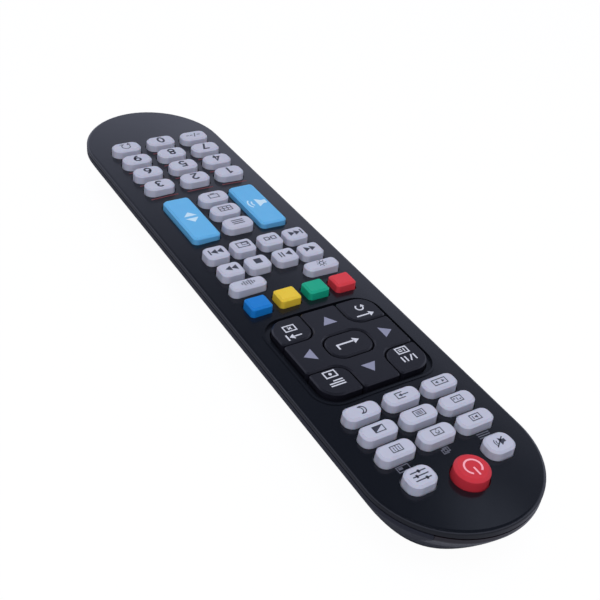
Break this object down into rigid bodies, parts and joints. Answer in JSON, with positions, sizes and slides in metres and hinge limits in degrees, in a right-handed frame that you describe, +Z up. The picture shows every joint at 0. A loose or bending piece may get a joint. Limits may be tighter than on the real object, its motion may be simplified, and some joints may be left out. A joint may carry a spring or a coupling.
{
  "type": "universal remote control",
  "caption": "Long handset with round ends, silicone keys, four-way arrow pad, two rocker keys, infrared window and a hinged battery door underneath.",
  "frame": {"origin": "Under the middle of the handset, on the surface it rests on", "axes": "+Y towards the infrared emitter and power key, +X to the reader's right when the keys are read, +Z up out of the key face"},
  "size_m": [0.05, 0.222, 0.0234],
  "materials": {
    "pale_silicone": "soft translucent silicone",
    "red_key": "soft silicone",
    "green_key": "soft silicone",
    "yellow_key": "soft silicone",
    "blue_key": "soft silicone",
    "power_red": "soft silicone, slightly glossy",
    "rocker_blue": "soft silicone",
    "satin_black": "satin moulded",
    "grey_silicone": "moulded silicone",
    "gloss_black": "high gloss",
    "case_black": "fine textured",
    "smoked_window": "smoked, lets infrared through",
    "led_lens": "clear tinted epoxy",
    "board_green": "phenolic board",
    "chip_black": "epoxy",
    "cell_metal": "steel can with a printed sleeve",
    "contact_metal": "nickel plated spring steel"
  },
  "bodies": {
    "handset": {"top_cover": "gloss_black", "bottom_case": "case_black", "infrared_window": "smoked_window", "infrared_led": "led_lens", "circuit_board": "board_green", "controller_chip": "chip_black", "keypad_sheet": "grey_silicone", "battery_cells": "cell_metal", "battery_contacts": "contact_metal"},
    "key_1": {"key_1": "pale_silicone"},
    "key_2": {"key_2": "pale_silicone"},
    "key_3": {"key_3": "pale_silicone"},
    "key_4": {"key_4": "pale_silicone"},
    "key_5": {"key_5": "pale_silicone"},
    "key_6": {"key_6": "pale_silicone"},
    "key_7": {"key_7": "pale_silicone"},
    "key_8": {"key_8": "pale_silicone"},
    "key_9": {"key_9": "pale_silicone"},
    "key_0": {"key_0": "pale_silicone"},
    "key_dash": {"key_dash": "pale_silicone"},
    "key_recall": {"key_recall": "pale_silicone"},
    "key_menu": {"key_menu": "pale_silicone"},
    "key_guide": {"key_guide": "pale_silicone"},
    "key_tv": {"key_tv": "pale_silicone"},
    "key_forward": {"key_forward": "pale_silicone"},
    "key_play_pause": {"key_play_pause": "pale_silicone"},
    "key_stop": {"key_stop": "pale_silicone"},
    "key_rewind": {"key_rewind": "pale_silicone"},
    "key_next": {"key_next": "pale_silicone"},
    "key_system": {"key_system": "pale_silicone"},
    "key_size": {"key_size": "pale_silicone"},
    "key_previous": {"key_previous": "pale_silicone"},
    "key_picture_mode": {"key_picture_mode": "pale_silicone"},
    "key_sound_mode": {"key_sound_mode": "pale_silicone"},
    "key_red": {"key_red": "red_key"},
    "key_green": {"key_green": "green_key"},
    "key_yellow": {"key_yellow": "yellow_key"},
    "key_blue": {"key_blue": "blue_key"},
    "key_text_hold": {"key_text_hold": "pale_silicone"},
    "key_text_reveal": {"key_text_reveal": "pale_silicone"},
    "key_text_index": {"key_text_index": "pale_silicone"},
    "key_text_size": {"key_text_size": "pale_silicone"},
    "key_text_time": {"key_text_time": "pale_silicone"},
    "key_text_mix": {"key_text_mix": "pale_silicone"},
    "key_aspect": {"key_aspect": "pale_silicone"},
    "key_source": {"key_source": "pale_silicone"},
    "key_sleep": {"key_sleep": "pale_silicone"},
    "key_mute": {"key_mute": "pale_silicone"},
    "key_set": {"key_set": "pale_silicone"},
    "key_exit": {"key_exit": "satin_black"},
    "key_return": {"key_return": "satin_black"},
    "key_display": {"key_display": "satin_black"},
    "key_dual_audio": {"key_dual_audio": "satin_black"},
    "key_power": {"key_power": "power_red"},
    "enter_key": {"enter_key": "satin_black"},
    "volume_rocker": {"volume_rocker": "rocker_blue"},
    "channel_rocker": {"channel_rocker": "rocker_blue"},
    "arrow_pad_cushion": {"arrow_pad_cushion": "grey_silicone"},
    "arrow_pad": {"arrow_pad": "satin_black"},
    "battery_door": {"battery_door": "case_black"}
  },
  "joints": [
    {"name": "key_1_press", "type": "slide", "parent": "handset", "child": "key_1", "axis": [0, 0, -1], "range_m": [0, 0.0008], "stiffness_N_per_m": 300},
    {"name": "key_2_press", "type": "slide", "parent": "handset", "child": "key_2", "axis": [0, 0, -1], "range_m": [0, 0.0008], "stiffness_N_per_m": 300},
    {"name": "key_3_press", "type": "slide", "parent": "handset", "child": "key_3", "axis": [0, 0, -1], "range_m": [0, 0.0008], "stiffness_N_per_m": 300},
    {"name": "key_4_press", "type": "slide", "parent": "handset", "child": "key_4", "axis": [0, 0, -1], "range_m": [0, 0.0008], "stiffness_N_per_m": 300},
    {"name": "key_5_press", "type": "slide", "parent": "handset", "child": "key_5", "axis": [0, 0, -1], "range_m": [0, 0.0008], "stiffness_N_per_m": 300},
    {"name": "key_6_press", "type": "slide", "parent": "handset", "child": "key_6", "axis": [0, 0, -1], "range_m": [0, 0.0008], "stiffness_N_per_m": 300},
    {"name": "key_7_press", "type": "slide", "parent": "handset", "child": "key_7", "axis": [0, 0, -1], "range_m": [0, 0.0008], "stiffness_N_per_m": 300},
    {"name": "key_8_press", "type": "slide", "parent": "handset", "child": "key_8", "axis": [0, 0, -1], "range_m": [0, 0.0008], "stiffness_N_per_m": 300},
    {"name": "key_9_press", "type": "slide", "parent": "handset", "child": "key_9", "axis": [0, 0, -1], "range_m": [0, 0.0008], "stiffness_N_per_m": 300},
    {"name": "key_0_press", "type": "slide", "parent": "handset", "child": "key_0", "axis": [0, 0, -1], "range_m": [0, 0.0008], "stiffness_N_per_m": 300},
    {"name": "key_dash_press", "type": "slide", "parent": "handset", "child": "key_dash", "axis": [0, 0, -1], "range_m": [0, 0.0008], "stiffness_N_per_m": 300},
    {"name": "key_recall_press", "type": "slide", "parent": "handset", "child": "key_recall", "axis": [0, 0, -1], "range_m": [0, 0.0008], "stiffness_N_per_m": 300},
    {"name": "key_menu_press", "type": "slide", "parent": "handset", "child": "key_menu", "axis": [0, 0, -1], "range_m": [0, 0.0008], "stiffness_N_per_m": 300},
    {"name": "key_guide_press", "type": "slide", "parent": "handset", "child": "key_guide", "axis": [0, 0, -1], "range_m": [0, 0.0008], "stiffness_N_per_m": 300},
    {"name": "key_tv_press", "type": "slide", "parent": "handset", "child": "key_tv", "axis": [0, 0, -1], "range_m": [0, 0.0008], "stiffness_N_per_m": 300},
    {"name": "key_forward_press", "type": "slide", "parent": "handset", "child": "key_forward", "axis": [0, 0, -1], "range_m": [0, 0.0008], "stiffness_N_per_m": 300},
    {"name": "key_play_pause_press", "type": "slide", "parent": "handset", "child": "key_play_pause", "axis": [0, 0, -1], "range_m": [0, 0.0008], "stiffness_N_per_m": 300},
    {"name": "key_stop_press", "type": "slide", "parent": "handset", "child": "key_stop", "axis": [0, 0, -1], "range_m": [0, 0.0008], "stiffness_N_per_m": 300},
    {"name": "key_rewind_press", "type": "slide", "parent": "handset", "child": "key_rewind", "axis": [0, 0, -1], "range_m": [0, 0.0008], "stiffness_N_per_m": 300},
    {"name": "key_next_press", "type": "slide", "parent": "handset", "child": "key_next", "axis": [0, 0, -1], "range_m": [0, 0.0008], "stiffness_N_per_m": 300},
    {"name": "key_system_press", "type": "slide", "parent": "handset", "child": "key_system", "axis": [0, 0, -1], "range_m": [0, 0.0008], "stiffness_N_per_m": 300},
    {"name": "key_size_press", "type": "slide", "parent": "handset", "child": "key_size", "axis": [0, 0, -1], "range_m": [0, 0.0008], "stiffness_N_per_m": 300},
    {"name": "key_previous_press", "type": "slide", "parent": "handset", "child": "key_previous", "axis": [0, 0, -1], "range_m": [0, 0.0008], "stiffness_N_per_m": 300},
    {"name": "key_picture_mode_press", "type": "slide", "parent": "handset", "child": "key_picture_mode", "axis": [0, 0, -1], "range_m": [0, 0.0008], "stiffness_N_per_m": 300},
    {"name": "key_sound_mode_press", "type": "slide", "parent": "handset", "child": "key_sound_mode", "axis": [0, 0, -1], "range_m": [0, 0.0008], "stiffness_N_per_m": 300},
    {"name": "key_red_press", "type": "slide", "parent": "handset", "child": "key_red", "axis": [0, 0, -1], "range_m": [0, 0.0008], "stiffness_N_per_m": 300},
    {"name": "key_green_press", "type": "slide", "parent": "handset", "child": "key_green", "axis": [0, 0, -1], "range_m": [0, 0.0008], "stiffness_N_per_m": 300},
    {"name": "key_yellow_press", "type": "slide", "parent": "handset", "child": "key_yellow", "axis": [0, 0, -1], "range_m": [0, 0.0008], "stiffness_N_per_m": 300},
    {"name": "key_blue_press", "type": "slide", "parent": "handset", "child": "key_blue", "axis": [0, 0, -1], "range_m": [0, 0.0008], "stiffness_N_per_m": 300},
    {"name": "key_text_hold_press", "type": "slide", "parent": "handset", "child": "key_text_hold", "axis": [0, 0, -1], "range_m": [0, 0.0008], "stiffness_N_per_m": 300},
    {"name": "key_text_reveal_press", "type": "slide", "parent": "handset", "child": "key_text_reveal", "axis": [0, 0, -1], "range_m": [0, 0.0008], "stiffness_N_per_m": 300},
    {"name": "key_text_index_press", "type": "slide", "parent": "handset", "child": "key_text_index", "axis": [0, 0, -1], "range_m": [0, 0.0008], "stiffness_N_per_m": 300},
    {"name": "key_text_size_press", "type": "slide", "parent": "handset", "child": "key_text_size", "axis": [0, 0, -1], "range_m": [0, 0.0008], "stiffness_N_per_m": 300},
    {"name": "key_text_time_press", "type": "slide", "parent": "handset", "child": "key_text_time", "axis": [0, 0, -1], "range_m": [0, 0.0008], "stiffness_N_per_m": 300},
    {"name": "key_text_mix_press", "type": "slide", "parent": "handset", "child": "key_text_mix", "axis": [0, 0, -1], "range_m": [0, 0.0008], "stiffness_N_per_m": 300},
    {"name": "key_aspect_press", "type": "slide", "parent": "handset", "child": "key_aspect", "axis": [0, 0, -1], "range_m": [0, 0.0008], "stiffness_N_per_m": 300},
    {"name": "key_source_press", "type": "slide", "parent": "handset", "child": "key_source", "axis": [0, 0, -1], "range_m": [0, 0.0008], "stiffness_N_per_m": 300},
    {"name": "key_sleep_press", "type": "slide", "parent": "handset", "child": "key_sleep", "axis": [0, 0, -1], "range_m": [0, 0.0008], "stiffness_N_per_m": 300},
    {"name": "key_mute_press", "type": "slide", "parent": "handset", "child": "key_mute", "axis": [0, 0, -1], "range_m": [0, 0.0008], "stiffness_N_per_m": 300},
    {"name": "key_set_press", "type": "slide", "parent": "handset", "child": "key_set", "axis": [0, 0, -1], "range_m": [0, 0.0008], "stiffness_N_per_m": 300},
    {"name": "key_exit_press", "type": "slide", "parent": "handset", "child": "key_exit", "axis": [0, 0, -1], "range_m": [0, 0.0008], "stiffness_N_per_m": 300},
    {"name": "key_return_press", "type": "slide", "parent": "handset", "child": "key_return", "axis": [0, 0, -1], "range_m": [0, 0.0008], "stiffness_N_per_m": 300},
    {"name": "key_display_press", "type": "slide", "parent": "handset", "child": "key_display", "axis": [0, 0, -1], "range_m": [0, 0.0008], "stiffness_N_per_m": 300},
    {"name": "key_dual_audio_press", "type": "slide", "parent": "handset", "child": "key_dual_audio", "axis": [0, 0, -1], "range_m": [0, 0.0008], "stiffness_N_per_m": 300},
    {"name": "key_power_press", "type": "slide", "parent": "handset", "child": "key_power", "axis": [0, 0, -1], "range_m": [0, 0.0008], "stiffness_N_per_m": 300},
    {"name": "enter_key_press", "type": "slide", "parent": "handset", "child": "enter_key", "axis": [0, 0, -1], "range_m": [0, 0.0008], "stiffness_N_per_m": 300},
    {"name": "volume_rocker_tilt", "type": "hinge", "parent": "handset", "child": "volume_rocker", "pos_m": [-0.0122, -0.0317, 0.0167], "axis": [1, 0, 0], "range_deg": [-2.5, 2.5], "stiffness_Nm_per_rad": 0.05},
    {"name": "channel_rocker_tilt", "type": "hinge", "parent": "handset", "child": "channel_rocker", "pos_m": [0.0122, -0.0317, 0.0167], "axis": [1, 0, 0], "range_deg": [-2.5, 2.5], "stiffness_Nm_per_rad": 0.05},
    {"name": "arrow_pad_lengthwise_tilt", "type": "hinge", "parent": "handset", "child": "arrow_pad_cushion", "pos_m": [0, 0.0422, 0.0158], "axis": [1, 0, 0], "range_deg": [-2, 2], "stiffness_Nm_per_rad": 0.05},
    {"name": "arrow_pad_sideways_tilt", "type": "hinge", "parent": "arrow_pad_cushion", "child": "arrow_pad", "pos_m": [0, 0.0422, 0.0158], "axis": [0, 1, 0], "range_deg": [-2, 2], "stiffness_Nm_per_rad": 0.05},
    {"name": "battery_door_hinge", "type": "hinge", "parent": "handset", "child": "battery_door", "pos_m": [0, -0.0108, 0.0009], "axis": [1, 0, 0], "range_deg": [0, 60]}
  ]
}
